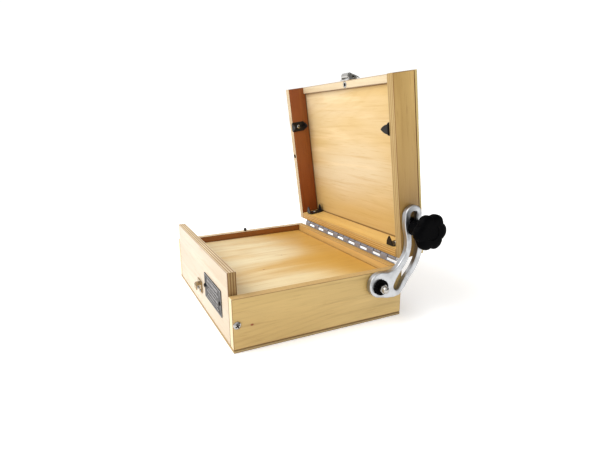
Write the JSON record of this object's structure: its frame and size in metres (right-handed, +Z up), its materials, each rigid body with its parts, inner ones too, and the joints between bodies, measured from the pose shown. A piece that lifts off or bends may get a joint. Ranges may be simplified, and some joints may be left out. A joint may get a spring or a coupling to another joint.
{
  "type": "pochade box",
  "caption": "Small hinged plywood painter's box with a lift-out palette, turning panel clips in the lid, a draw latch and a slotted stay arm clamped by a lobed knob.",
  "frame": {"origin": "centre of the underside of the base", "axes": "+Z up, +Y towards the hinge, +X towards the side that carries the stay arm"},
  "size_m": [0.2666, 0.2239, 0.2595],
  "materials": {
    "birch_ply": "clear satin",
    "birch_sheet": "clear satin",
    "palette_ply": "clear satin",
    "bright_steel": "nickel plated",
    "black_steel": "blackened",
    "plate_metal": "dark etched",
    "arm_aluminium": "satin",
    "black_plastic": "moulded"
  },
  "bodies": {
    "base": {"base_bottom_panel": "birch_sheet", "base_left_wall": "birch_ply", "base_right_wall": "birch_ply", "base_rear_wall": "birch_ply", "base_front_panel": "birch_ply", "palette_cleat_left": "birch_ply", "palette_cleat_right": "birch_ply", "front_corner_screw_left": "bright_steel", "front_corner_screw_right": "bright_steel", "name_plate": "plate_metal", "name_plate_screw_1": "black_steel", "name_plate_screw_2": "black_steel", "latch_catch": "bright_steel", "latch_catch_screw_1": "bright_steel", "latch_catch_screw_2": "bright_steel", "locating_pin": "black_steel", "hinge_base_leaf": "bright_steel", "hinge_pin": "bright_steel", "hinge_base_screw_1": "bright_steel", "hinge_base_screw_2": "bright_steel", "hinge_base_screw_3": "bright_steel", "hinge_base_screw_4": "bright_steel", "arm_wall_washer": "black_plastic", "arm_pivot_stud": "bright_steel", "arm_pivot_washer": "black_plastic", "arm_pivot_cap_nut": "bright_steel"},
    "palette": {"palette": "palette_ply"},
    "lid": {"lid_left_wall": "birch_ply", "lid_right_wall": "birch_ply", "lid_hinge_rail": "birch_ply", "lid_batten": "birch_ply", "lid_back_panel": "birch_sheet", "batten_insert": "bright_steel", "hinge_lid_leaf": "bright_steel", "hinge_lid_screw_1": "bright_steel", "hinge_lid_screw_2": "bright_steel", "hinge_lid_screw_3": "bright_steel", "hinge_lid_screw_4": "bright_steel", "panel_clip_screw_upper_left": "bright_steel", "panel_clip_screw_upper_right": "bright_steel", "panel_clip_screw_lower_left": "bright_steel", "panel_clip_screw_lower_right": "bright_steel", "latch_base": "bright_steel", "latch_lever_pin": "bright_steel", "clamp_stud": "bright_steel", "clamp_washer": "black_plastic"},
    "arm": {"slotted_arm": "arm_aluminium"},
    "knob": {"clamp_knob": "black_plastic"},
    "latch_lever": {"latch_lever": "bright_steel"},
    "latch_bail": {"latch_bail": "bright_steel"},
    "clip_upper_left": {"panel_clip_upper_left": "black_steel"},
    "clip_upper_right": {"panel_clip_upper_right": "black_steel"},
    "clip_lower_left": {"panel_clip_lower_left": "black_steel"},
    "clip_lower_right": {"panel_clip_lower_right": "black_steel"}
  },
  "joints": [
    {"name": "lid_hinge", "type": "hinge", "parent": "base", "child": "lid", "pos_m": [0, 0.099, 0.059], "axis": [-1, 0, 0], "range_deg": [-83.2, 6.8]},
    {"name": "arm_pivot", "type": "hinge", "parent": "base", "child": "arm", "pos_m": [0.1165, 0.062, 0.0402], "axis": [-1, 0, 0], "range_deg": [-79.9, 6.5]},
    {"name": "knob_spin", "type": "hinge", "parent": "lid", "child": "knob", "pos_m": [0.1228, 0.10136, 0.09831], "axis": [1, 0, 0], "continuous": true},
    {"name": "palette_lift", "type": "slide", "parent": "base", "child": "palette", "axis": [0, 0, 1], "range_m": [0, 0.1]},
    {"name": "latch_lever_turn", "type": "hinge", "parent": "lid", "child": "latch_lever", "pos_m": [0, 0.09682, 0.25633], "axis": [1, 0, 0], "range_deg": [0, 165]},
    {"name": "latch_bail_swing", "type": "hinge", "parent": "latch_lever", "child": "latch_bail", "pos_m": [0, 0.10531, 0.25311], "axis": [1, 0, 0], "range_deg": [0, 110]},
    {"name": "clip_upper_left_turn", "type": "hinge", "parent": "lid", "child": "clip_upper_left", "pos_m": [-0.106, 0.08599, 0.19764], "axis": [1, 0, 0], "range_deg": [0, 90]},
    {"name": "clip_upper_right_turn", "type": "hinge", "parent": "lid", "child": "clip_upper_right", "pos_m": [0.106, 0.08599, 0.19764], "axis": [1, 0, 0], "range_deg": [0, 90]},
    {"name": "clip_lower_left_turn", "type": "hinge", "parent": "lid", "child": "clip_lower_left", "pos_m": [-0.092, 0.1055, 0.07287], "axis": [0, -0.1184, 0.993], "range_deg": [0, 90]},
    {"name": "clip_lower_right_turn", "type": "hinge", "parent": "lid", "child": "clip_lower_right", "pos_m": [0.092, 0.1055, 0.07287], "axis": [0, -0.1184, 0.993], "range_deg": [0, 90]}
  ],
  "couplings": [
    {"joint": "arm_pivot", "follows": "lid_hinge", "ratio": 0.96}
  ]
}
